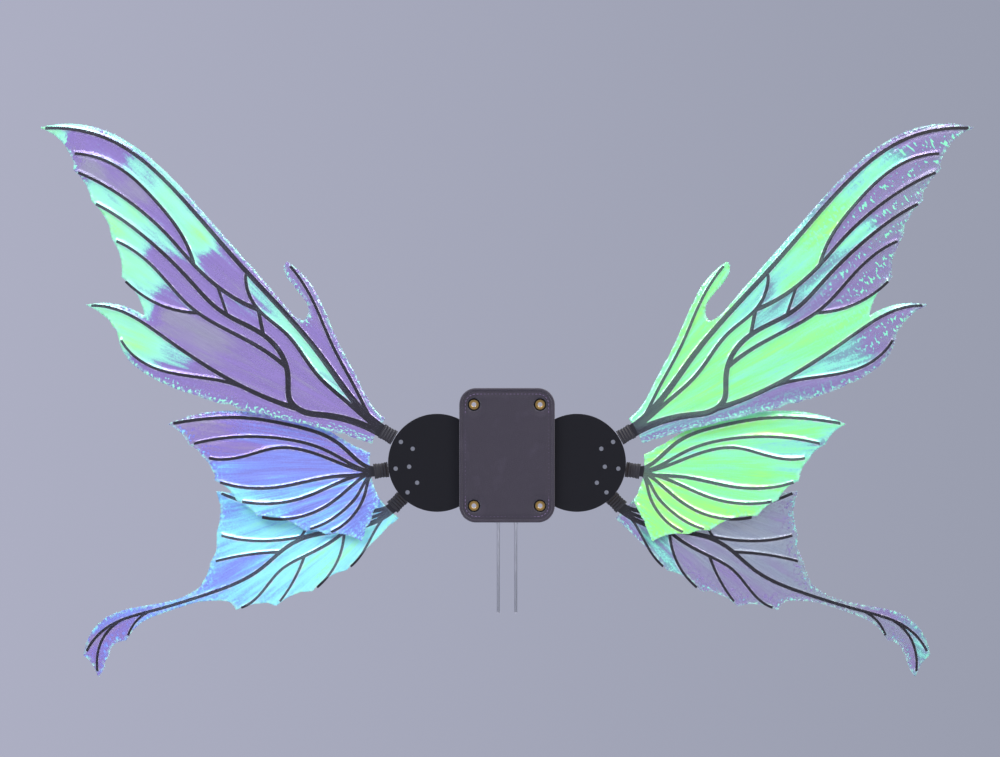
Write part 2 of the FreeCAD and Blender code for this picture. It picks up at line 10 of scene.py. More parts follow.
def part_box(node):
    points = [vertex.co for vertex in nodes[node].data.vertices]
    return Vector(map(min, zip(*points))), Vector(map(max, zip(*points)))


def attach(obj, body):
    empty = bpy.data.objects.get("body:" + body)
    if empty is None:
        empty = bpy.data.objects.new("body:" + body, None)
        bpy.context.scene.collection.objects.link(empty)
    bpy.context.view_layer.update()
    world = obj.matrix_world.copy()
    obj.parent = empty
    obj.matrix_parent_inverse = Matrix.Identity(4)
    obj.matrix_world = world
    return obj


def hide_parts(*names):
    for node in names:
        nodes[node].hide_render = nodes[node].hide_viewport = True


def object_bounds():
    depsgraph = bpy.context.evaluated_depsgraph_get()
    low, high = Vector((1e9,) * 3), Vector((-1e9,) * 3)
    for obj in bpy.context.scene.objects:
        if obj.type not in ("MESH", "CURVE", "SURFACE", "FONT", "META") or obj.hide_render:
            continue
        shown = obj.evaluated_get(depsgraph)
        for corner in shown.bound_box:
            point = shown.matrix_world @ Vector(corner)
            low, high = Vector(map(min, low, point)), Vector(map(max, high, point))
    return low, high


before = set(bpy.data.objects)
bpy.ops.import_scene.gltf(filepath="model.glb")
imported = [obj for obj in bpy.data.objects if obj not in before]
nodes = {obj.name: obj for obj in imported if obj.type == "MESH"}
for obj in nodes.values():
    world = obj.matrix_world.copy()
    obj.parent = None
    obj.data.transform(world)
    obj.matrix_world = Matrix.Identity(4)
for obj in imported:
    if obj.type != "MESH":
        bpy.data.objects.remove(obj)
cad_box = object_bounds()

# ---------------------------------------------------------------------------
# The room: the camera looks level along +Y at the wearer's front, from the height of the
# chest.  Two soft lamps hang either side of it, and the air behind is pale lavender grey.
# ---------------------------------------------------------------------------
CAMERA_DISTANCE = 3.0          # metres from the camera to the roots of the wings
FIELD_WIDTH = 1.03             # metres across the view at that distance
SENSOR_WIDTH = 36.0            # mm
camera_data = bpy.data.cameras.new("camera")
camera_data.sensor_width = SENSOR_WIDTH
camera_data.lens = SENSOR_WIDTH * CAMERA_DISTANCE / FIELD_WIDTH
camera = bpy.data.objects.new("camera", camera_data)
root_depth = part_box("forewing_right_sleeve")[0].y
camera.location = (-0.0072, root_depth - CAMERA_DISTANCE, 0.0788)
camera.rotation_euler = (math.pi / 2, 0, 0)
bpy.context.scene.collection.objects.link(camera)
bpy.context.scene.camera = camera
bpy.context.scene.view_settings.view_transform = "Standard"


def linear(hex_colour, alpha=1.0):
    """An sRGB hex colour as the linear RGBA that a socket takes."""
    channels = [int(hex_colour[i:i + 2], 16) / 255 for i in (1, 3, 5)]
    return [c / 12.92 if c <= 0.04045 else ((c + 0.055) / 1.055) ** 2.4
            for c in channels] + [alpha]


def add_node(tree, kind, settings=None, links=None):
    """Adds a node: settings are its properties or sockets, and links feed its sockets."""
    node = tree.nodes.new(kind)
    for key, value in (settings or {}).items():
        if isinstance(key, str) and hasattr(node, key):
            setattr(node, key, value)
        else:
            node.inputs[key].default_value = value
    for key, source in (links or {}).items():
        tree.links.new(source, node.inputs[key])
    return node


def new_material(name):
    """An empty node material, with its shader and output joined up."""
    material = bpy.data.materials.new(name)
    material.use_nodes = True
    tree = material.node_tree
    tree.nodes.clear()
    shader = add_node(tree, "ShaderNodeBsdfPrincipled")
    add_node(tree, "ShaderNodeOutputMaterial", links={"Surface": shader.outputs[0]})
    return material, tree, shader


def area_lamp(name, place, aim, size, power, colour):
    data = bpy.data.lights.new(name, "AREA")
    data.shape = "RECTANGLE"
    data.size, data.size_y = size
    data.energy = power
    data.color = linear(colour)[:3]
    lamp = bpy.data.objects.new(name, data)
    lamp.location = place
    lamp.rotation_euler = (Vector(aim) - Vector(place)).to_track_quat("-Z", "Y").to_euler()
    bpy.context.scene.collection.objects.link(lamp)


area_lamp("window_left", (-1.5, -1.9, 2.0), (0, 0, 0), (1.4, 1.4), 70.0, "#F4F6FF")
area_lamp("window_right", (1.6, -1.8, 1.9), (0, 0, 0), (1.2, 1.4), 64.0, "#FFFAF4")
area_lamp("ceiling", (0.0, 0.4, 2.4), (0, 0, 0), (2.4, 1.6), 40.0, "#FFFFFF")
area_lamp("wall_bounce", (0.0, 2.2, 0.9), (0, 0, 0), (2.6, 1.4), 30.0, "#EDEBFF")

world = bpy.data.worlds.new("lavender_air")
world.use_nodes = True
bpy.context.scene.world = world
air = world.node_tree
air_side = add_node(air, "ShaderNodeTexCoord")
air_split = add_node(air, "ShaderNodeSeparateXYZ", links={0: air_side.outputs["Generated"]})
air_across = add_node(air, "ShaderNodeMapRange", {1: -0.18, 2: 0.18},
                      {0: air_split.outputs["X"]})
air_ramp = add_node(air, "ShaderNodeValToRGB", links={0: air_across.outputs[0]})
air_ramp.color_ramp.elements[0].color = linear("#ADAFC3")
air_ramp.color_ramp.elements[1].color = linear("#999DAE")
air.links.new(air_ramp.outputs["Color"], air.nodes["Background"].inputs["Color"])

# ---------------------------------------------------------------------------
# The floor: a pale painted disc below the wings, for the other views.
# ---------------------------------------------------------------------------
FLOOR_RADIUS = 1.25
FLOOR_DROP = 0.26              # below the lowest point of the wings
floor_z = cad_box[0][2] - FLOOR_DROP
bpy.ops.mesh.primitive_circle_add(vertices=96, radius=FLOOR_RADIUS, fill_type="NGON",
                                  location=(0, 0, floor_z))
floor = bpy.context.object
floor.name = "floor"
floor_paint, floor_tree, floor_shader = new_material("matt_floor_paint")
floor_grain = add_node(floor_tree, "ShaderNodeTexNoise", {"Scale": 40.0, "Detail": 4.0})
floor_mix = add_node(floor_tree, "ShaderNodeMix", {"data_type": "RGBA", 6: linear("#C9C9D2"),
                                                   7: linear("#D4D4DC")},
                     {0: floor_grain.outputs[0]})
floor_tree.links.new(floor_mix.outputs[2], floor_shader.inputs["Base Color"])
floor_shader.inputs["Roughness"].default_value = 0.8
floor.data.materials.append(floor_paint)

# ---------------------------------------------------------------------------
# The veins: flat black plastic, cut in one branching piece with a laser and laid between the
# films.  The CAD nodes stay, and get a satin black finish.
# ---------------------------------------------------------------------------
SIDES = ("right", "left")
PANELS = ("forewing", "middle_wing", "tail_wing")


def satin_black_vinyl():
    """Laser-cut black vinyl sheet: near black, satin, with a faint grain on its faces."""
    material, tree, shader = new_material("satin_black_vinyl")
    place = add_node(tree, "ShaderNodeTexCoord")
    grain = add_node(tree, "ShaderNodeTexNoise", {"Scale": 900.0, "Detail": 3.0},
                     {"Vector": place.outputs["Object"]})
    tint = add_node(tree, "ShaderNodeMix", {"data_type": "RGBA", 6: linear("#121116"),
                                            7: linear("#1E1C24")}, {0: grain.outputs[0]})
    rough = add_node(tree, "ShaderNodeMapRange", {3: 0.30, 4: 0.45}, {0: grain.outputs[0]})
    bump = add_node(tree, "ShaderNodeBump", {"Strength": 0.15, "Distance": 0.0003},
                    {"Height": grain.outputs[0]})
    tree.links.new(tint.outputs[2], shader.inputs["Base Color"])
    tree.links.new(rough.outputs[0], shader.inputs["Roughness"])
    tree.links.new(bump.outputs[0], shader.inputs["Normal"])
    return material


def finish_cad(node_name, material, bevel=0.0, slot=None):
    """Gives a CAD node its material and, where asked, fine rounded edges."""
    piece = nodes[node_name]
    piece.data.materials.clear()
    piece.data.materials.append(material)
    if bevel:
        weld = piece.modifiers.new("weld", "WELD")
        weld.merge_threshold = 0.000005
        round_over = piece.modifiers.new("round_over", "BEVEL")
        round_over.width = bevel
        round_over.segments = 2
        round_over.limit_method = "ANGLE"
        round_over.angle_limit = math.radians(40)
        round_over.use_clamp_overlap = True
    return piece


vinyl = satin_black_vinyl()
for side in SIDES:
    for panel in PANELS:
        finish_cad(f"{panel}_{side}_veins", vinyl)

# ---------------------------------------------------------------------------
# The film: a clear iridescent film, one sheet each side of the veins, heat-shrunk until the two
# weld.  Between the veins it is one thin skin, over them it stands proud, and its melted rim is
# crinkled.  Its colour doesn't change with the view: it is painted in place by place, violet for
# the clear film's tint and cyan through mint for painted glare, with painted glints and pale
# painted highlights along the veins and the rim.
# ---------------------------------------------------------------------------
FILM_PITCH = 0.0021            # distance between the mesh's points
RIM_PITCH = 0.0018
WELD_HALF = 0.00016            # half the welded skin's thickness
OVER_VEIN_HALF = 0.00115       # half the thickness across a vein
WELD_REACH = 0.0016            # the film comes down to the weld over this distance
BILLOW = 0.0013
CRINKLE = 0.0006
DIMPLE = 0.00035
RAGGED = 0.0026                # how far the melted rim draws back, at most, in broad bites
NIBBLED = 0.0012               # and in small ones

# Tone of the film's colour, painted in place by place, as places from the wing's hub in metres and
# a tone: 0 clear violet grey, 0.3 violet, 0.5 blue, 0.7 cyan, 0.85 mint, 1 yellow green.  Violet
# and grey are the clear film's tint; cyan, mint and green stand for painted glare, which doesn't
# change with the view.
PAINTED_GLARE_TONES = {
    "forewing_right": [
        (0.10, 0.07, 0.86), (0.145, 0.18, 0.88), (0.20, 0.17, 0.62), (0.26, 0.235, 0.88),
        (0.32, 0.30, 0.74), (0.39, 0.335, 0.25), (0.22, 0.187, 0.80), (0.30, 0.24, 0.78),
        (0.36, 0.285, 0.12), (0.34, 0.262, 0.20), (0.26, 0.17, 0.46), (0.33, 0.225, 0.30),
        (0.37, 0.25, 0.15), (0.28, 0.16, 0.84), (0.315, 0.18, 0.40), (0.24, 0.12, 0.88),
        (0.29, 0.14, 0.82), (0.20, 0.085, 0.80), (0.33, 0.14, 0.30), (0.27, 0.10, 0.72),
        (0.20, 0.062, 0.50), (0.13, 0.06, 0.84), (0.175, 0.12, 0.82)],
    "forewing_left": [
        (0.405, 0.342, 0.88), (0.375, 0.335, 0.34), (0.345, 0.325, 0.42), (0.31, 0.30, 0.70),
        (0.28, 0.272, 0.82), (0.25, 0.235, 0.84), (0.225, 0.205, 0.40), (0.205, 0.185, 0.36),
        (0.15, 0.14, 0.70), (0.18, 0.17, 0.62), (0.36, 0.308, 0.14), (0.32, 0.285, 0.16),
        (0.28, 0.25, 0.46), (0.355, 0.28, 0.78), (0.32, 0.262, 0.78), (0.29, 0.235, 0.60),
        (0.25, 0.195, 0.36), (0.34, 0.245, 0.80), (0.315, 0.225, 0.70), (0.29, 0.21, 0.42),
        (0.25, 0.17, 0.34), (0.21, 0.145, 0.34), (0.33, 0.205, 0.78), (0.305, 0.185, 0.72),
        (0.28, 0.165, 0.44), (0.305, 0.165, 0.72), (0.28, 0.15, 0.16), (0.24, 0.125, 0.20),
        (0.20, 0.10, 0.36), (0.34, 0.148, 0.80), (0.31, 0.13, 0.82), (0.27, 0.108, 0.60),
        (0.235, 0.092, 0.36), (0.30, 0.09, 0.36), (0.22, 0.065, 0.38), (0.14, 0.085, 0.34),
        (0.165, 0.12, 0.60), (0.13, 0.165, 0.34), (0.145, 0.195, 0.40), (0.11, 0.07, 0.36)],
    "middle_wing_right": [
        (0.10, 0.02, 0.94), (0.20, 0.03, 0.90), (0.25, 0.03, 0.86), (0.26, 0.01, 0.55),
        (0.19, -0.01, 0.90), (0.22, 0.0, 0.78), (0.18, -0.04, 0.88), (0.20, -0.04, 0.55),
        (0.14, -0.05, 0.96), (0.16, -0.065, 0.78), (0.11, -0.07, 0.98), (0.08, -0.06, 0.94)],
    "middle_wing_left": [
        (0.10, 0.02, 0.50), (0.19, 0.037, 0.36), (0.25, 0.035, 0.22), (0.24, 0.015, 0.26),
        (0.19, 0.018, 0.34), (0.19, -0.01, 0.50), (0.22, -0.005, 0.56), (0.18, -0.035, 0.60),
        (0.21, -0.033, 0.74), (0.14, -0.05, 0.52), (0.17, -0.05, 0.68), (0.16, -0.065, 0.70),
        (0.11, -0.07, 0.60), (0.08, -0.06, 0.50)],
    "tail_wing_right": [
        (0.19, -0.06, 0.10), (0.21, -0.05, 0.16), (0.19, -0.088, 0.06), (0.20, -0.11, 0.12),
        (0.16, -0.12, 0.30), (0.19, -0.13, 0.24), (0.12, -0.10, 0.20), (0.24, -0.145, 0.20),
        (0.30, -0.163, 0.16), (0.34, -0.18, 0.14), (0.365, -0.20, 0.60), (0.09, -0.08, 0.60)],
    "tail_wing_left": [
        (0.19, -0.06, 0.76), (0.21, -0.05, 0.64), (0.19, -0.088, 0.76), (0.21, -0.115, 0.60),
        (0.16, -0.12, 0.74), (0.19, -0.13, 0.74), (0.12, -0.10, 0.78), (0.24, -0.145, 0.66),
        (0.30, -0.163, 0.60), (0.345, -0.185, 0.32), (0.365, -0.20, 0.30), (0.09, -0.08, 0.78)],
}
HUB = Vector((0.072, 0.0, -0.008))
VEIN_CROSSING = 0.09           # a vein between two places counts as this much more distance


def front_loops(node_name):
    """The closed outlines, as (x, z) points, of the face that a flat node turns to -Y."""
    shape = bmesh.new()
    shape.from_mesh(nodes[node_name].data)
    bmesh.ops.remove_doubles(shape, verts=shape.verts, dist=1e-6)
    front = {face for face in shape.faces if face.normal.y < -0.5}
    following = {}
    for face in front:
        for loop in face.loops:
            if not any(other in front for other in loop.edge.link_faces if other != face):
                following[loop.vert.index] = loop.link_loop_next.vert.index
    shape.verts.ensure_lookup_table()
    loops = []
    while following:
        start, now = next(iter(following.items()))
        ring = [start]
        del following[start]
        while now != start and now in following:
            ring.append(now)
            now = following.pop(now)
        loops.append(np.array([(shape.verts[i].co.x, shape.verts[i].co.z) for i in ring]))
    shape.free()
    return [loop for loop in loops if len(loop) > 3]


def evenly(loop, pitch):
    """A closed outline with its points set at one even distance."""
    closed = np.vstack([loop, loop[:1]])
    steps = np.hypot(*np.diff(closed, axis=0).T)
    along = np.concatenate([[0], np.cumsum(steps)])
    count = max(8, int(round(along[-1] / pitch)))
    places = np.linspace(0, along[-1], count, endpoint=False)
    return np.column_stack([np.interp(places, along, closed[:, i]) for i in (0, 1)])


def outwards(loop):
    """The unit normals of a closed outline, to the right of its way round."""
    ahead = np.roll(loop, -1, axis=0) - np.roll(loop, 1, axis=0)
    ahead /= np.maximum(np.hypot(*ahead.T), 1e-9)[:, None]
    return np.column_stack([ahead[:, 1], -ahead[:, 0]])


def point_tree(points):
    tree = kdtree.KDTree(len(points))
    for i, (x, z) in enumerate(points):
        tree.insert((x, z, 0), i)
    tree.balance()
    return tree


def distances(tree, points):
    return np.array([tree.find((x, z, 0))[2] for x, z in points])


def covers(node_name):
    """A test of whether a place (x, z) lies over a node."""
    mesh = nodes[node_name].data
    mesh.calc_loop_triangles()
    tree = bvhtree.BVHTree.FromPolygons([v.co for v in mesh.vertices],
                                        [t.vertices for t in mesh.loop_triangles])
    return lambda x, z: tree.ray_cast(Vector((x, -1, z)), Vector((0, 1, 0)))[0] is not None


def smooth_step(low, high, value):
    t = np.clip((value - low) / (high - low), 0, 1)
    return t * t * (3 - 2 * t)


def noise_at(points, scale, seed):
    """Smooth noise from -1 to 1 at places (x, z), with its waves about scale metres long."""
    sx, sz = scale if isinstance(scale, tuple) else (scale, scale)
    return np.array([noise.noise(Vector((x / sx, z / sz, seed))) for x, z in points])


def bend_of(panel):
    """The panel's middle depth as a function of x, which is all that it depends on."""
    xs, ys = [], []
    for layer in ("film_front", "film_back"):
        co = np.array([v.co for v in nodes[f"{panel}_{layer}"].data.vertices])
        centre, spread = co[:, 0].mean(), np.ptp(co[:, 0]) / 2
        xs.append((centre, spread))
        ys.append(np.polyfit((co[:, 0] - centre) / spread, co[:, 1], 6))

    def depth(x):
        return sum(np.polyval(y, (x - c) / s) for (c, s), y in zip(xs, ys)) / 2
    return depth


def spread_tones(points, triangles, in_vein, spots, side):
    """Each point's tone, from the spots that are nearest without crossing a vein."""
    edges = {tuple(sorted((t[i], t[(i + 1) % 3]))) for t in triangles for i in range(3)}
    near = [[] for _ in points]
    for a, b in edges:
        step = float(np.hypot(*(points[a] - points[b])))
        if in_vein[a] or in_vein[b]:
            step += VEIN_CROSSING / 2
        near[a].append((b, step))
        near[b].append((a, step))
    tree = point_tree(points)
    total = np.zeros(len(points))
    weights = np.zeros(len(points))
    for x, z, tone in spots:
        sign = 1 if side == "right" else -1
        start = tree.find((sign * (HUB.x + x), HUB.z + z, 0))[1]
        reach = np.full(len(points), 9.0)
        reach[start] = 0
        queue = [(0.0, start)]
        while queue:
            gone, here = heapq.heappop(queue)
            if gone > reach[here]:
                continue
            for other, step in near[here]:
                if gone + step < reach[other]:
                    reach[other] = gone + step
                    heapq.heappush(queue, (gone + step, other))
        weight = 1 / (reach + 0.012) ** 3
        total += weight * tone
        weights += weight
    return total / weights


def melt_back(rim, vein_tree, seed):
    """The rim with bites melted out of it, small ones only where a vein runs close by."""
    outward = outwards(rim)
    if (outward * (rim - rim.mean(0))).sum() < 0:
        outward = -outward
    broad = np.maximum(0, noise_at(rim, 0.009, seed + 21.0)) * RAGGED
    small = np.maximum(0, noise_at(rim, 0.0032, seed + 27.0)) * NIBBLED
    free = 0.2 + 0.8 * smooth_step(0.004, 0.012, distances(vein_tree, rim))
    return evenly(rim - outward * ((broad + small) * free)[:, None], RIM_PITCH)


def build_film(panel, side, seed):
    """The welded laminate of one panel, as a closed shell round its veins."""
    name = f"{panel}_{side}"
    outline = max(front_loops(name + "_film_front"), key=len)
    vein_rings = [evenly(ring, RIM_PITCH) for ring in front_loops(name + "_veins")]
    vein_fine = np.vstack([evenly(ring, 0.0006) for ring in front_loops(name + "_veins")])
    vein_tree = point_tree(vein_fine)
    rim = melt_back(evenly(outline, RIM_PITCH), vein_tree, seed)
    over_vein = covers(name + "_veins")
    over_film = covers(name + "_film_front")
    rim_tree = point_tree(rim)

    beside = []
    for ring in vein_rings:
        for offset in (-0.0005, 0.0003, 0.0016):
            beside.append(ring + outwards(ring) * offset)
            beside.append(ring - outwards(ring) * offset)
    beside = np.vstack(beside)
    keep, taken = [], set()
    for x, z in beside:
        cell = (round(x / 0.0008), round(z / 0.0008))
        if cell not in taken and over_film(x, z) and rim_tree.find((x, z, 0))[2] > 0.0011:
            taken.add(cell)
            keep.append((x, z))
    kept_tree = point_tree(keep)
    low, high = rim.min(0), rim.max(0)
    rng = np.random.default_rng(int(seed))
    rows = int((high[1] - low[1]) / (FILM_PITCH * 0.87))
    for row in range(1, rows):
        z = low[1] + row * FILM_PITCH * 0.87
        xs = np.arange(low[0] + (row % 2) * FILM_PITCH / 2, high[0], FILM_PITCH)
        for x in xs:
            jx, jz = rng.uniform(-0.2, 0.2, 2) * FILM_PITCH
            place = (x + jx, z + jz, 0)
            if (rim_tree.find(place)[2] > FILM_PITCH * 0.6 and kept_tree.find(place)[2] > 0.0012
                    and over_film(place[0], place[1])):
                keep.append((place[0], place[1]))
    everything = [Vector(p) for p in rim] + [Vector(p) for p in keep]
    ring = list(range(len(rim)))
    flat, _, faces, _, _, _ = geometry.delaunay_2d_cdt(everything, [], [ring], 1, 1e-7)
    used = sorted({i for face in faces for i in face})
    place_of = {i: n for n, i in enumerate(used)}
    points = np.array([(flat[i].x, flat[i].y) for i in used])
    triangles = [tuple(place_of[i] for i in face) for face in faces]

    gap = distances(vein_tree, points)
    in_vein = np.array([over_vein(x, z) for x, z in points])
    gap = np.where(in_vein, -gap, gap)
    to_rim = distances(rim_tree, points)
    free = smooth_step(0.0004, 0.006, gap)
    radius = np.hypot(np.abs(points[:, 0]) - HUB.x, points[:, 1] - HUB.z)
    angle = np.arctan2(points[:, 1] - HUB.z, np.abs(points[:, 0]) - HUB.x)
    fan = np.column_stack([radius, angle * 0.22])
    half = WELD_HALF + (OVER_VEIN_HALF - WELD_HALF) * (1 - smooth_step(0, WELD_REACH, gap))
    bead = np.maximum(0, noise_at(points, 0.0024, seed + 3.3))
    half += (1 - smooth_step(0.0003, 0.0022, to_rim)) * (0.0002 + 0.0009 * bead)
    near_rim = np.exp(-to_rim / 0.009)
    # One mask, near the rim and towards the tip of the right forewing: it raises real dimples in
    # the film here, and the material paints glints where it lies.
    crackle = 0.9 * np.exp(-np.maximum(to_rim - 0.004, 0) / 0.006)
    if panel == "forewing" and side == "right":
        crackle = np.maximum(crackle, smooth_step(0.25, 0.36, radius))
    crackle = crackle * free
    wave = BILLOW * noise_at(fan, (0.09, 0.016), seed) * free
    wave += CRINKLE * noise_at(fan, (0.016, 0.005), seed + 7.7) * free * (0.3 + 1.2 * near_rim)
    wave += DIMPLE * crackle * noise_at(fan, (0.0045, 0.006), seed + 11.1)
    middle = bend_of(name)(points[:, 0]) + wave
    tone = spread_tones(points, triangles, in_vein, PAINTED_GLARE_TONES[name], side)

    count = len(points)
    verts = np.vstack([np.column_stack([points[:, 0], middle - half, points[:, 1]]),
                       np.column_stack([points[:, 0], middle + half, points[:, 1]])])
    shell = []
    for a, b, c in triangles:
        pa, pb, pc = points[a], points[b], points[c]
        turn = (pb[0] - pa[0]) * (pc[1] - pa[1]) - (pb[1] - pa[1]) * (pc[0] - pa[0])
        a, b, c = (a, b, c) if turn > 0 else (a, c, b)
        shell += [(a, b, c), (count + a, count + c, count + b)]
    directed = {}
    for face in shell[::2]:
        for i in range(3):
            directed[(face[i], face[(i + 1) % 3])] = True
    for a, b in directed:
        if (b, a) not in directed:
            shell.append((b, a, count + a, count + b))
    mesh = bpy.data.meshes.new(name + "_film")
    mesh.from_pydata(verts.tolist(), [], shell)
    mesh.validate()
    for key, values in (("tone", tone), ("vein_gap", gap), ("rim_gap", to_rim),
                        ("reach", radius), ("swing", angle), ("crackle", crackle)):
        layer = mesh.attributes.new(key, "FLOAT", "POINT")
        layer.data.foreach_set("value", np.concatenate([values, values]).astype(np.float32))
    mesh.shade_smooth()
    film = bpy.data.objects.new(name + "_film", mesh)
    bpy.context.scene.collection.objects.link(film)
    corners = points[np.array(triangles)]
    edge_1, edge_2 = corners[:, 1] - corners[:, 0], corners[:, 2] - corners[:, 0]
    area = float(np.abs(edge_1[:, 0] * edge_2[:, 1] - edge_1[:, 1] * edge_2[:, 0]).sum() / 2)
    rim_tree_flat = point_tree(points)
    nearest = [rim_tree_flat.find((x, z, 0))[1] for x, z in rim]
    edge_line = [(x, middle[i], z) for (x, z), i in zip(rim, nearest)]
    return film, rim, edge_line, area


# The film's colour ramps, one for each cast: the violet and grey stops are the clear film's tint,
# and the cyan, mint and green stops are painted glare.
GREEN_CAST = [(0.0, "#8C9FB2"), (0.12, "#8DA0B6"), (0.22, "#9390B6"), (0.34, "#9684BC"),
              (0.48, "#978ABF"), (0.55, "#8CA2BE"), (0.61, "#84B9BE"), (0.68, "#93EEDC"),
              (0.76, "#98FCC2"), (0.87, "#96FF9F"), (1.0, "#ACFF80")]
STREAKED_CAST = [(0.0, "#9291AB"), (0.20, "#9A8FB8"), (0.32, "#957CC2"), (0.50, "#9983C8"),
                 (0.55, "#96A2CC"), (0.585, "#98DCD6"), (0.66, "#A4F8DC"), (0.78, "#A4FCC8"),
                 (0.90, "#ACFFA8"), (1.0, "#BEFF90")]
BLUE_CAST = [(0.0, "#9291AB"), (0.20, "#9A80BE"), (0.32, "#9478D2"), (0.44, "#8C94E8"),
             (0.56, "#8FA6FA"), (0.64, "#8CC4F6"), (0.72, "#97EEFC"), (0.80, "#A0FBF2"),
             (0.88, "#A2FFD0"), (1.0, "#A8FFB0")]


def iridescent_film(name, stops):
    """Dichroic cellophane: glossy, part clear, its colour set by tone.

    The tone ramp gives the film's order of colours, its cyan, mint and green standing for painted
    glare, and fine streaks run out along the cells.  Where the dimple mask lies, the tone breaks
    into painted glints, and beside the veins and along the rim thin pale lines are painted
    highlights.  Over the veins the film is painted a pale grey reflection.
    """
    material, tree, shader = new_material(name)
    place = add_node(tree, "ShaderNodeTexCoord")
    split = add_node(tree, "ShaderNodeSeparateXYZ", links={0: place.outputs["Object"]})

    def held(attribute):
        node = add_node(tree, "ShaderNodeAttribute", {"attribute_name": attribute})
        return node.outputs["Fac"]

    def maths(operation, first, second=None, third=None, clamp=False):
        node = add_node(tree, "ShaderNodeMath", {"operation": operation, "use_clamp": clamp})
        for socket, value in zip(node.inputs, (first, second, third)):
            if isinstance(value, (int, float)):
                socket.default_value = value
            elif value is not None:
                tree.links.new(value, socket)
        return node.outputs[0]

    def streaks(along, across, detail):
        """Noise along the cells, with waves of these lengths in metres and radians."""
        stretched = add_node(tree, "ShaderNodeCombineXYZ", links={
            0: maths("DIVIDE", held("reach"), along),
            1: maths("DIVIDE", held("swing"), across),
            2: maths("MULTIPLY", maths("SIGN", split.outputs["X"]), 3.0)})
        return add_node(tree, "ShaderNodeTexNoise", {"Scale": 1.0, "Detail": detail},
                        {"Vector": stretched.outputs[0]}).outputs[0]

    def blend(share, first, second):
        node = add_node(tree, "ShaderNodeMix", {"data_type": "RGBA"}, {0: share})
        for socket, value in ((node.inputs[6], first), (node.inputs[7], second)):
            if isinstance(value, str):
                socket.default_value = linear(value)
            else:
                tree.links.new(value, socket)
        return node.outputs[2]

    broad = streaks(0.11, 0.05, 1.0)
    fine = streaks(0.035, 0.011, 3.0)
    # Painted glints: where the dimple mask lies, streaky noise sets the tone to cyan, standing in
    # for light caught by the dimples.
    glints = streaks(0.0032, 0.016, 1.0)
    speckle = add_node(tree, "ShaderNodeTexNoise", {"Scale": 900.0, "Detail": 1.0},
                       {"Vector": place.outputs["Object"]}).outputs[0]
    tone = maths("MULTIPLY_ADD", maths("SUBTRACT", broad, 0.5), 0.42, held("tone"))
    tone = maths("MULTIPLY_ADD", maths("SUBTRACT", fine, 0.5), 0.30, tone)
    tone = maths("MULTIPLY_ADD", maths("SUBTRACT", speckle, 0.5), 0.16, tone, clamp=True)
    glint = maths("MULTIPLY", maths("MULTIPLY_ADD", glints, 11.0, -5.9, clamp=True),
                  held("crackle"))
    tone = maths("ADD", maths("MULTIPLY", tone, maths("SUBTRACT", 1.0, glint)),
                 maths("MULTIPLY", glint, 0.74))
    # Painted highlight along the melted rim: a band about 4 mm wide, broken by noise, where the
    # colour turns pale mint and the film grows more opaque.
    highlight_breakup_noise = add_node(tree, "ShaderNodeTexNoise", {"Scale": 260.0, "Detail": 2.0},
                         {"Vector": place.outputs["Object"]}).outputs[0]
    rim_band = maths("SUBTRACT", 1.0, maths("DIVIDE", held("rim_gap"), 0.0042), clamp=True)
    rim_shine = maths("MULTIPLY", rim_band,
                      maths("MULTIPLY_ADD", highlight_breakup_noise, 6.0, -2.6, clamp=True), clamp=True)

    colours = add_node(tree, "ShaderNodeValToRGB", links={0: tone})
    ramp = colours.color_ramp
    for element, (position, colour) in zip(ramp.elements, (stops[0], stops[-1])):
        element.position, element.color = position, linear(colour)
    for position, colour in stops[1:-1]:
        ramp.elements.new(position).color = linear(colour)
    # The film is more opaque where the tone is high, so that the painted glare hides what lies
    # behind it.
    cover = add_node(tree, "ShaderNodeMapRange", {1: 0.05, 2: 0.66, 3: 0.22, 4: 0.92},
                     {0: tone}).outputs[0]
    on_vein = maths("LESS_THAN", held("vein_gap"), 0.0)
    # Painted highlight: a thin pale lilac line just beside each vein, broken by noise.
    vein_edge_highlight = maths("MULTIPLY", maths("COMPARE", held("vein_gap"), 0.0004, 0.0005),
                        maths("MULTIPLY_ADD", highlight_breakup_noise, 5.0, -2.3, clamp=True))
    colour = blend(maths("MULTIPLY", vein_edge_highlight, 0.75), colours.outputs[0], "#DCD6EE")
    # Painted highlight: the pale mint line along the rim.
    colour = blend(maths("MULTIPLY", rim_shine, 0.85), colour, "#B6FFE2")
    # Painted reflection: over the veins the film turns a pale grey, as the lamps would show in it
    # there.
    colour = blend(maths("MULTIPLY", on_vein, 0.75), colour, "#8A889C")
    cover = maths("MAXIMUM", cover, maths("MULTIPLY", rim_shine, 0.9))
    # Over the veins the film is more opaque where the tone, and so the painted glare, is high.
    glare = add_node(tree, "ShaderNodeMapRange", {1: 0.45, 2: 0.85, 3: 0.02, 4: 0.36},
                     {0: tone}).outputs[0]
    alpha = add_node(tree, "ShaderNodeMix", {}, {0: on_vein, 2: cover, 3: glare}).outputs[0]
    crease = add_node(tree, "ShaderNodeBump", {"Strength": 0.3, "Distance": 0.0006},
                      {"Height": fine})
    tree.links.new(colour, shader.inputs["Base Color"])
    tree.links.new(alpha, shader.inputs["Alpha"])
    tree.links.new(maths("MULTIPLY_ADD", fine, 0.16, 0.14), shader.inputs["Roughness"])
    tree.links.new(crease.outputs[0], shader.inputs["Normal"])
    shader.inputs["Metallic"].default_value = 0.2
    shader.inputs["IOR"].default_value = 1.5
    return material


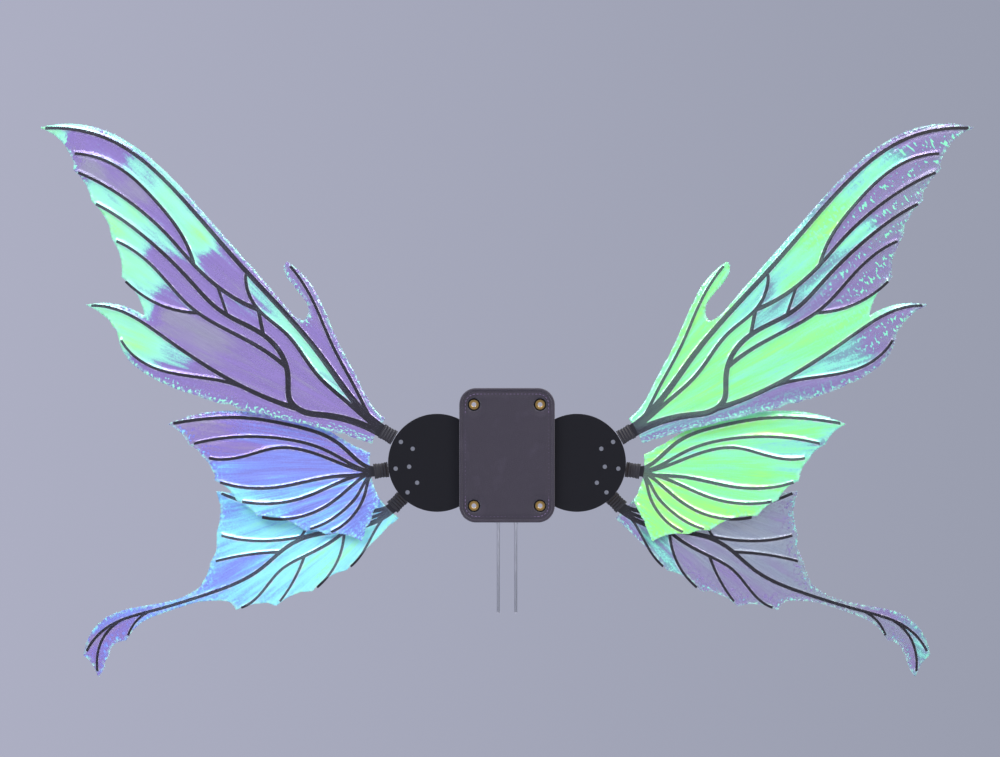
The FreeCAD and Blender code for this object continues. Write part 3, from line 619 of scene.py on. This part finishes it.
cellophane = {"green": iridescent_film("dichroic_cellophane_green", GREEN_CAST),
              "streaked": iridescent_film("dichroic_cellophane_streaked", STREAKED_CAST),
              "blue": iridescent_film("dichroic_cellophane_blue", BLUE_CAST)}
CASTS = {"forewing_left": "streaked", "middle_wing_left": "blue", "tail_wing_left": "blue"}
edge_lines = {}
for number, panel in enumerate(PANELS):
    for side in SIDES:
        seed = 10.0 * number + (5.0 if side == "left" else 0.0)
        film, rim, edge_line, area = build_film(panel, side, seed)
        film.data.materials.append(cellophane[CASTS.get(f"{panel}_{side}", "green")])
        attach(film, f"{panel}_{side}")
        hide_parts(f"{panel}_{side}_film_front", f"{panel}_{side}_film_back")
        edge_lines[f"{panel}_{side}"] = edge_line

# ---------------------------------------------------------------------------
# The melted beads: where the film's rim was sealed with a heat gun it drew up into tiny
# drops of clear plastic, which stay along the edge and catch the light.
# ---------------------------------------------------------------------------
BEAD_SPACING = 0.0032
BEAD_RADIUS = 0.00034
BEAD_SPREAD = 0.00045
DROP_SEED = 4


def group_input(tree, name, kind, value):
    socket = tree.interface.new_socket(name=name, in_out="INPUT", socket_type=kind)
    socket.default_value = value
    return socket.identifier


def new_geometry_tree(name):
    tree = bpy.data.node_groups.new(name, "GeometryNodeTree")
    tree.interface.new_socket(name="Geometry", in_out="INPUT", socket_type="NodeSocketGeometry")
    tree.interface.new_socket(name="Geometry", in_out="OUTPUT", socket_type="NodeSocketGeometry")
    return tree


def grow(name, carrier, tree, settings):
    """Runs a geometry tree on a carrier mesh, and returns the result as a plain mesh."""
    holder = bpy.data.objects.new(name + "_carrier", carrier)
    bpy.context.scene.collection.objects.link(holder)
    modifier = holder.modifiers.new("grow", "NODES")
    modifier.node_group = tree
    for identifier, value in settings.items():
        modifier[identifier] = value
    bpy.context.view_layer.update()
    graph = bpy.context.evaluated_depsgraph_get()
    mesh = bpy.data.meshes.new_from_object(holder.evaluated_get(graph))
    mesh.name = name
    bpy.data.objects.remove(holder)
    piece = bpy.data.objects.new(name, mesh)
    bpy.context.scene.collection.objects.link(piece)
    return piece


def closed_line(points):
    mesh = bpy.data.meshes.new("line")
    count = len(points)
    mesh.from_pydata([tuple(p) for p in points], [(i, (i + 1) % count) for i in range(count)], [])
    return mesh


def melted_plastic():
    """Drops of melted cellophane: clear, glossy, pale mint to violet from drop to drop; the pale
    mint and cyan are painted glints.
    """
    material, tree, shader = new_material("melted_cellophane")
    place = add_node(tree, "ShaderNodeTexCoord")
    patch = add_node(tree, "ShaderNodeTexNoise", {"Scale": 120.0, "Detail": 1.0},
                     {"Vector": place.outputs["Object"]})
    colour = add_node(tree, "ShaderNodeValToRGB", links={0: patch.outputs[0]})
    colour.color_ramp.elements[0].position = 0.40
    colour.color_ramp.elements[0].color = linear("#A79AD0")
    colour.color_ramp.elements[1].position = 0.60
    colour.color_ramp.elements[1].color = linear("#A8F6E0")
    colour.color_ramp.elements.new(0.5).color = linear("#B9E6F4")
    rough = add_node(tree, "ShaderNodeMapRange", {3: 0.08, 4: 0.25}, {0: patch.outputs[0]})
    tree.links.new(colour.outputs[0], shader.inputs["Base Color"])
    tree.links.new(rough.outputs[0], shader.inputs["Roughness"])
    shader.inputs["Alpha"].default_value = 0.85
    shader.inputs["IOR"].default_value = 1.5
    return material


def bead_tree():
    """Drops of random size at even steps along a line, each pushed a little off it."""
    tree = new_geometry_tree("melted_beads")
    sockets = {"spacing": group_input(tree, "Spacing", "NodeSocketFloat", BEAD_SPACING),
               "radius": group_input(tree, "Radius", "NodeSocketFloat", BEAD_RADIUS),
               "spread": group_input(tree, "Spread", "NodeSocketFloat", BEAD_SPREAD),
               "seed": group_input(tree, "Seed", "NodeSocketInt", DROP_SEED),
               "finish": tree.interface.new_socket(name="Finish", in_out="INPUT",
                                                   socket_type="NodeSocketMaterial").identifier}
    given = add_node(tree, "NodeGroupInput")
    line = add_node(tree, "GeometryNodeMeshToCurve", links={"Mesh": given.outputs["Geometry"]})
    steps = add_node(tree, "GeometryNodeResampleCurve", {"mode": "LENGTH"},
                     {"Curve": line.outputs[0], "Length": given.outputs["Spacing"]})
    push = add_node(tree, "FunctionNodeRandomValue", {"data_type": "FLOAT_VECTOR",
                                                      0: (-1, -1, -1), 1: (1, 1, 1)},
                    {"Seed": given.outputs["Seed"]})
    scaled = add_node(tree, "ShaderNodeVectorMath", {"operation": "SCALE"},
                      {0: push.outputs[0], "Scale": given.outputs["Spread"]})
    moved = add_node(tree, "GeometryNodeSetPosition",
                     links={"Geometry": steps.outputs[0], "Offset": scaled.outputs[0]})
    drop = add_node(tree, "GeometryNodeMeshIcoSphere", {"Subdivisions": 2},
                    {"Radius": given.outputs["Radius"]})
    size = add_node(tree, "FunctionNodeRandomValue", {"data_type": "FLOAT_VECTOR",
                                                      0: (0.5, 0.6, 0.5), 1: (2.1, 1.3, 2.1)},
                    {"Seed": given.outputs["Seed"]})
    drops = add_node(tree, "GeometryNodeInstanceOnPoints",
                     links={"Points": moved.outputs[0], "Instance": drop.outputs[0],
                            "Scale": size.outputs[0]})
    real = add_node(tree, "GeometryNodeRealizeInstances", links={0: drops.outputs[0]})
    smooth = add_node(tree, "GeometryNodeSetShadeSmooth", links={0: real.outputs[0]})
    coated = add_node(tree, "GeometryNodeSetMaterial", links={"Geometry": smooth.outputs[0],
                                                              "Material": given.outputs["Finish"]})
    add_node(tree, "NodeGroupOutput", links={0: coated.outputs[0]})
    return tree, sockets


beads, bead_sockets = bead_tree()
bead_finish = melted_plastic()
for number, (name, line) in enumerate(edge_lines.items()):
    piece = grow(name + "_rim_beads", closed_line(line), beads,
                 {bead_sockets["spacing"]: BEAD_SPACING, bead_sockets["seed"]: DROP_SEED + number,
                  bead_sockets["finish"]: bead_finish})
    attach(piece, name)

# ---------------------------------------------------------------------------
# The fittings: brass sockets with steel stems in them, held on black anodised wing plates
# by countersunk screws.  The plates swing on steel hinges riveted to the back plate.
# ---------------------------------------------------------------------------


def metal(name, light, dark, roughness, grain, metallic=1.0, stretch=(1.0, 1.0, 1.0)):
    """A metal whose colour, gloss and skin vary with a grain: its size is in metres."""
    material, tree, shader = new_material(name)
    place = add_node(tree, "ShaderNodeTexCoord")
    along = add_node(tree, "ShaderNodeMapping", {"Scale": stretch},
                     {"Vector": place.outputs["Object"]})
    marks = add_node(tree, "ShaderNodeTexNoise", {"Scale": 1.0 / grain, "Detail": 5.0},
                     {"Vector": along.outputs[0]})
    tint = add_node(tree, "ShaderNodeMix", {"data_type": "RGBA", 6: linear(light),
                                            7: linear(dark)}, {0: marks.outputs[0]})
    rough = add_node(tree, "ShaderNodeMapRange", {3: roughness - 0.08, 4: roughness + 0.12},
                     {0: marks.outputs[0]})
    skin = add_node(tree, "ShaderNodeBump", {"Strength": 0.12, "Distance": 0.0002},
                    {"Height": marks.outputs[0]})
    tree.links.new(tint.outputs[2], shader.inputs["Base Color"])
    tree.links.new(rough.outputs[0], shader.inputs["Roughness"])
    tree.links.new(skin.outputs[0], shader.inputs["Normal"])
    shader.inputs["Metallic"].default_value = metallic
    return material


# Brushed steel shows fine streaks, drawn here 1 mm apart so that they can be seen.
brushed_steel = metal("brushed_steel", "#C3C5C9", "#8E9196", 0.30, 0.001, 1.0, (1, 1, 0.1))
# Machined brass is warm and bright, with slight tarnish in patches.
machined_brass = metal("machined_brass", "#D9B56C", "#A98345", 0.28, 0.006)
# Black anodising is a hard dye skin over aluminium: near black, with a soft grey sheen.
black_anodised = metal("black_anodised_aluminium", "#1D1D22", "#121216", 0.38, 0.0009, 0.55)

for side in SIDES:
    for panel in PANELS:
        finish_cad(f"socket_{panel}_{side}", machined_brass, bevel=0.0004)
        finish_cad(f"{panel}_{side}_wires", brushed_steel)
    finish_cad(f"wing_plate_{side}", black_anodised, bevel=0.00025)
    finish_cad(f"socket_screws_{side}", brushed_steel, bevel=0.0001)
    finish_cad(f"hinge_leaf_{side}", brushed_steel, bevel=0.0002)
    finish_cad(f"hinge_pin_{side}", brushed_steel, bevel=0.0003)
    finish_cad(f"hinge_rivets_{side}", brushed_steel, bevel=0.0003)
    finish_cad(f"stay_{side}", brushed_steel, bevel=0.0003)
    finish_cad(f"stay_clips_{side}", brushed_steel, bevel=0.0003)
finish_cad("lacing_eyelets", machined_brass, bevel=0.0003)
finish_cad("back_plate", black_anodised, bevel=0.0004)

# ---------------------------------------------------------------------------
# The sleeves: ribbed black heat-shrink tube, drawn down round the vein roots and the stems,
# so that it is oval, a little waisted, and rolled at both ends.
# ---------------------------------------------------------------------------
SOCKET_ANGLES = {"forewing": 30.0, "middle_wing": -8.0, "tail_wing": -45.0}
SLEEVE_RIBS = 5
SLEEVE_RINGS = 61
SLEEVE_SIDES = 40
RIB_DEPTH = 0.00028


def shrink_tube():
    """Polyolefin heat-shrink: black, semi-matt, with faint wrinkles round it."""
    material, tree, shader = new_material("black_shrink_tube")
    place = add_node(tree, "ShaderNodeTexCoord")
    wrinkle = add_node(tree, "ShaderNodeTexNoise", {"Scale": 500.0, "Detail": 3.0},
                       {"Vector": place.outputs["Object"]})
    tint = add_node(tree, "ShaderNodeMix", {"data_type": "RGBA", 6: linear("#16151A"),
                                            7: linear("#24232A")}, {0: wrinkle.outputs[0]})
    rough = add_node(tree, "ShaderNodeMapRange", {3: 0.42, 4: 0.60}, {0: wrinkle.outputs[0]})
    bump = add_node(tree, "ShaderNodeBump", {"Strength": 0.3, "Distance": 0.0003},
                    {"Height": wrinkle.outputs[0]})
    tree.links.new(tint.outputs[2], shader.inputs["Base Color"])
    tree.links.new(rough.outputs[0], shader.inputs["Roughness"])
    tree.links.new(bump.outputs[0], shader.inputs["Normal"])
    return material


def build_sleeve(panel, side, finish):
    """An oval tube along the socket's axis, sized from the CAD sleeve."""
    node_name = f"{panel}_{side}_sleeve"
    co = np.array([v.co for v in nodes[node_name].data.vertices])
    sign = 1 if side == "right" else -1
    angle = math.radians(SOCKET_ANGLES[panel])
    axis = Vector((sign * math.cos(angle), 0, math.sin(angle)))
    across = Vector((-sign * math.sin(angle), 0, math.cos(angle)))
    along = co @ np.array(axis)
    sideways = co @ np.array(across)
    depth = co[:, 1]
    middle = across * float(sideways.min() + sideways.max()) / 2
    middle.y = float(depth.min() + depth.max()) / 2
    half_width, half_depth = float(np.ptp(sideways)) / 2, float(np.ptp(depth)) / 2
    start, length = float(along.min()), float(np.ptp(along))
    shape = bmesh.new()
    rings = []
    for i in range(SLEEVE_RINGS):
        t = i / (SLEEVE_RINGS - 1)
        end_roll = math.sqrt(max(0.0, 1 - (2 * t - 1) ** 24))
        rib = math.cos(2 * math.pi * SLEEVE_RIBS * t) * RIB_DEPTH
        waist = 1 - 0.10 * math.sin(math.pi * t)
        ring = []
        for j in range(SLEEVE_SIDES):
            turn = 2 * math.pi * j / SLEEVE_SIDES
            c, s = math.cos(turn), math.sin(turn)
            wide = (half_width * waist - RIB_DEPTH + rib) * (0.86 + 0.14 * end_roll)
            deep = (half_depth - RIB_DEPTH + rib) * (0.80 + 0.20 * end_roll)
            place = middle + axis * (start + length * t)
            place = place + across * (wide * math.copysign(abs(c) ** 0.7, c))
            place.y += deep * math.copysign(abs(s) ** 0.7, s)
            ring.append(shape.verts.new(place))
        rings.append(ring)
    for first, second in zip(rings, rings[1:]):
        for j in range(SLEEVE_SIDES):
            k = (j + 1) % SLEEVE_SIDES
            shape.faces.new((first[j], first[k], second[k], second[j]))
    for ring in (rings[0], rings[-1]):
        shape.faces.new(ring)
    bmesh.ops.recalc_face_normals(shape, faces=shape.faces)
    mesh = bpy.data.meshes.new(f"{panel}_{side}_shrink_sleeve")
    shape.to_mesh(mesh)
    shape.free()
    mesh.shade_smooth()
    mesh.materials.append(finish)
    sleeve = bpy.data.objects.new(mesh.name, mesh)
    bpy.context.scene.collection.objects.link(sleeve)
    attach(sleeve, f"{panel}_{side}")
    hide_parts(node_name)


shrink = shrink_tube()
for panel in PANELS:
    for side in SIDES:
        build_sleeve(panel, side, shrink)

# ---------------------------------------------------------------------------
# The back pad: a sheet of foam in black cotton twill, cut with a hole in front of each
# eyelet and bound round its edge with piping that is sewn on with a running stitch.
# ---------------------------------------------------------------------------
PAD_PITCH = 0.0022
PAD_CROWN = 0.0016             # the foam is this much lower at its seams
SEAM_INSET = 0.0062
SEAM_DEPTH = 0.0006
PIPING_RADIUS = 0.0016
STITCH_LENGTH = 0.0026
STITCH_GAP = 0.0038
STITCH_RADIUS = 0.00035


def cotton_twill():
    """Black cotton twill: diagonal ribs 1 mm apart, matt, with a dusty violet sheen."""
    material, tree, shader = new_material("black_cotton_twill")
    place = add_node(tree, "ShaderNodeTexCoord")
    turned = add_node(tree, "ShaderNodeMapping", {"Rotation": (0, math.radians(27), 0)},
                      {"Vector": place.outputs["Object"]})
    ribs = add_node(tree, "ShaderNodeTexWave", {"Scale": 310.0, "Distortion": 1.2,
                                                "Detail": 2.0, "Detail Scale": 3.0,
                                                "bands_direction": "X"},
                    {"Vector": turned.outputs[0]})
    fuzz = add_node(tree, "ShaderNodeTexNoise", {"Scale": 60.0, "Detail": 6.0},
                    {"Vector": place.outputs["Object"]})
    tint = add_node(tree, "ShaderNodeMix", {"data_type": "RGBA", 6: linear("#1B1722"),
                                            7: linear("#37303F")}, {0: ribs.outputs["Fac"]})
    worn = add_node(tree, "ShaderNodeMix", {"data_type": "RGBA", 7: linear("#433C4B")},
                    {0: add_node(tree, "ShaderNodeMapRange", {1: 0.55, 2: 0.9, 3: 0.0, 4: 0.6},
                                 {0: fuzz.outputs[0]}).outputs[0], 6: tint.outputs[2]})
    bump = add_node(tree, "ShaderNodeBump", {"Strength": 0.55, "Distance": 0.0005},
                    {"Height": ribs.outputs["Fac"]})
    rough = add_node(tree, "ShaderNodeMapRange", {3: 0.78, 4: 0.95}, {0: fuzz.outputs[0]})
    tree.links.new(worn.outputs[2], shader.inputs["Base Color"])
    tree.links.new(rough.outputs[0], shader.inputs["Roughness"])
    tree.links.new(bump.outputs[0], shader.inputs["Normal"])
    shader.inputs["Sheen Weight"].default_value = 0.35
    return material


def build_pad(finish):
    """The crowned foam slab, with its eyelet holes, as one closed shell."""
    loops = sorted(front_loops("back_pad"), key=lambda loop: np.ptp(loop[:, 0]))
    edge = evenly(loops[-1], PAD_PITCH)
    holes = [evenly(loop, PAD_PITCH / 2) for loop in loops[:-1]]
    borders = [edge] + holes
    border_tree = point_tree(np.vstack(borders))
    edge_tree = point_tree(edge)
    hole_tree = point_tree(np.vstack(holes))
    on_pad = covers("back_pad")
    places = [Vector(p) for border in borders for p in border]
    segments, first = [], 0
    for border in borders:
        count = len(border)
        segments += [(first + i, first + (i + 1) % count) for i in range(count)]
        first += count
    low, high = edge.min(0), edge.max(0)
    for row, z in enumerate(np.arange(low[1], high[1], PAD_PITCH * 0.87)):
        for x in np.arange(low[0] + (row % 2) * PAD_PITCH / 2, high[0], PAD_PITCH):
            if border_tree.find((x, z, 0))[2] > PAD_PITCH * 0.5 and on_pad(x, z):
                places.append(Vector((x, z)))
    flat, _, faces, _, _, _ = geometry.delaunay_2d_cdt(places, segments, [], 0, 1e-7)
    points = np.array([(p.x, p.y) for p in flat])
    kept = []
    for face in faces:
        centre = points[list(face)].mean(0)
        if on_pad(*centre):
            kept.append(face)
    bottom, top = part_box("back_pad")
    thick = top.y - bottom.y
    in_edge = distances(edge_tree, points)
    in_hole = distances(hole_tree, points)
    drop = PAD_CROWN * (1 - smooth_step(0, 0.012, in_edge)) ** 2
    drop += PAD_CROWN * 0.8 * (1 - smooth_step(0, 0.007, in_hole))
    drop += SEAM_DEPTH * np.exp(-((in_edge - SEAM_INSET) / 0.0011) ** 2)
    drop += 0.0002 * (noise_at(points, 0.02, 41.0) + 1) * smooth_step(0, 0.02, in_edge)
    front = bottom.y + drop
    back = np.full(len(points), bottom.y + thick)
    count = len(points)
    verts = np.vstack([np.column_stack([points[:, 0], front, points[:, 1]]),
                       np.column_stack([points[:, 0], back, points[:, 1]])])
    shell = []
    for a, b, c in kept:
        pa, pb, pc = points[a], points[b], points[c]
        turn = (pb[0] - pa[0]) * (pc[1] - pa[1]) - (pb[1] - pa[1]) * (pc[0] - pa[0])
        a, b, c = (a, b, c) if turn > 0 else (a, c, b)
        shell += [(a, b, c), (count + a, count + c, count + b)]
    directed = {(face[i], face[(i + 1) % 3]) for face in shell[::2] for i in range(3)}
    shell += [(b, a, count + a, count + b) for a, b in sorted(directed) if (b, a) not in directed]
    mesh = bpy.data.meshes.new("foam_pad")
    mesh.from_pydata(verts.tolist(), [], shell)
    mesh.validate()
    mesh.shade_smooth()
    mesh.materials.append(finish)
    pad = bpy.data.objects.new("foam_pad", mesh)
    bpy.context.scene.collection.objects.link(pad)
    return pad, edge


def tube_round(name, line, radius, finish):
    """A round tube along a closed line, by geometry nodes."""
    tree = new_geometry_tree(name + "_tree")
    radius_id = group_input(tree, "Radius", "NodeSocketFloat", radius)
    finish_id = tree.interface.new_socket(name="Finish", in_out="INPUT",
                                          socket_type="NodeSocketMaterial").identifier
    given = add_node(tree, "NodeGroupInput")
    path = add_node(tree, "GeometryNodeMeshToCurve", links={"Mesh": given.outputs["Geometry"]})
    section = add_node(tree, "GeometryNodeCurvePrimitiveCircle", {"Resolution": 10},
                       {"Radius": given.outputs["Radius"]})
    tube = add_node(tree, "GeometryNodeCurveToMesh",
                    links={"Curve": path.outputs[0], "Profile Curve": section.outputs[0]})
    smooth = add_node(tree, "GeometryNodeSetShadeSmooth", links={0: tube.outputs[0]})
    real = add_node(tree, "GeometryNodeRealizeInstances", links={0: smooth.outputs[0]})
    coated = add_node(tree, "GeometryNodeSetMaterial", links={"Geometry": real.outputs[0],
                                                              "Material": given.outputs["Finish"]})
    add_node(tree, "NodeGroupOutput", links={0: coated.outputs[0]})
    return grow(name, closed_line(line), tree, {radius_id: radius, finish_id: finish})


def stitch_row(name, line, finish):
    """A running stitch along a closed line: short plump threads with gaps between them."""
    tree = new_geometry_tree(name + "_tree")
    gap_id = group_input(tree, "Stitch pitch", "NodeSocketFloat", STITCH_GAP)
    radius_id = group_input(tree, "Thread radius", "NodeSocketFloat", STITCH_RADIUS)
    finish_id = tree.interface.new_socket(name="Finish", in_out="INPUT",
                                          socket_type="NodeSocketMaterial").identifier
    given = add_node(tree, "NodeGroupInput")
    path = add_node(tree, "GeometryNodeMeshToCurve", links={"Mesh": given.outputs["Geometry"]})
    steps = add_node(tree, "GeometryNodeResampleCurve", {"mode": "LENGTH"},
                     {"Curve": path.outputs[0], "Length": given.outputs["Stitch pitch"]})
    ahead = add_node(tree, "GeometryNodeInputTangent")
    turned = add_node(tree, "FunctionNodeAlignRotationToVector", {"axis": "Z"},
                      {"Vector": ahead.outputs[0]})
    thread = add_node(tree, "GeometryNodeMeshUVSphere", {"Segments": 8, "Rings": 6},
                      {"Radius": given.outputs["Thread radius"]})
    slope = STITCH_LENGTH / (2 * STITCH_RADIUS)
    threads = add_node(tree, "GeometryNodeInstanceOnPoints", {"Scale": (1.0, 1.0, slope)},
                       {"Points": steps.outputs[0], "Instance": thread.outputs[0],
                        "Rotation": turned.outputs[0]})
    real = add_node(tree, "GeometryNodeRealizeInstances", links={0: threads.outputs[0]})
    smooth = add_node(tree, "GeometryNodeSetShadeSmooth", links={0: real.outputs[0]})
    coated = add_node(tree, "GeometryNodeSetMaterial", links={"Geometry": smooth.outputs[0],
                                                              "Material": given.outputs["Finish"]})
    add_node(tree, "NodeGroupOutput", links={0: coated.outputs[0]})
    return grow(name, closed_line(line), tree, {gap_id: STITCH_GAP, radius_id: STITCH_RADIUS,
                                                finish_id: finish})


def sewing_thread():
    """Polyester thread, plum grey, with a soft shine and twisted strands across it."""
    material, tree, shader = new_material("plum_polyester_thread")
    place = add_node(tree, "ShaderNodeTexCoord")
    twist = add_node(tree, "ShaderNodeTexNoise", {"Scale": 2200.0, "Detail": 2.0},
                     {"Vector": place.outputs["Object"]})
    tint = add_node(tree, "ShaderNodeMix", {"data_type": "RGBA", 6: linear("#5B4A66"),
                                            7: linear("#86729A")}, {0: twist.outputs[0]})
    tree.links.new(tint.outputs[2], shader.inputs["Base Color"])
    shader.inputs["Roughness"].default_value = 0.55
    return material


twill = cotton_twill()
thread = sewing_thread()
pad, pad_edge = build_pad(twill)
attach(pad, "base")
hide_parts("back_pad")
pad_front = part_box("back_pad")[0].y
outward = outwards(pad_edge)
if (outward * (pad_edge - pad_edge.mean(0))).sum() < 0:
    outward = -outward
piping_line = pad_edge - outward * PIPING_RADIUS
piping = tube_round("pad_piping", [(x, pad_front + PIPING_RADIUS + 0.0001, z)
                                   for x, z in piping_line], PIPING_RADIUS, twill)
stitch_line = pad_edge - outward * SEAM_INSET
stitches = stitch_row("pad_stitches", [(x, pad_front + PAD_CROWN * 0.35 + SEAM_DEPTH, z)
                                       for x, z in stitch_line], thread)
for piece in (piping, stitches):
    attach(piece, "base")
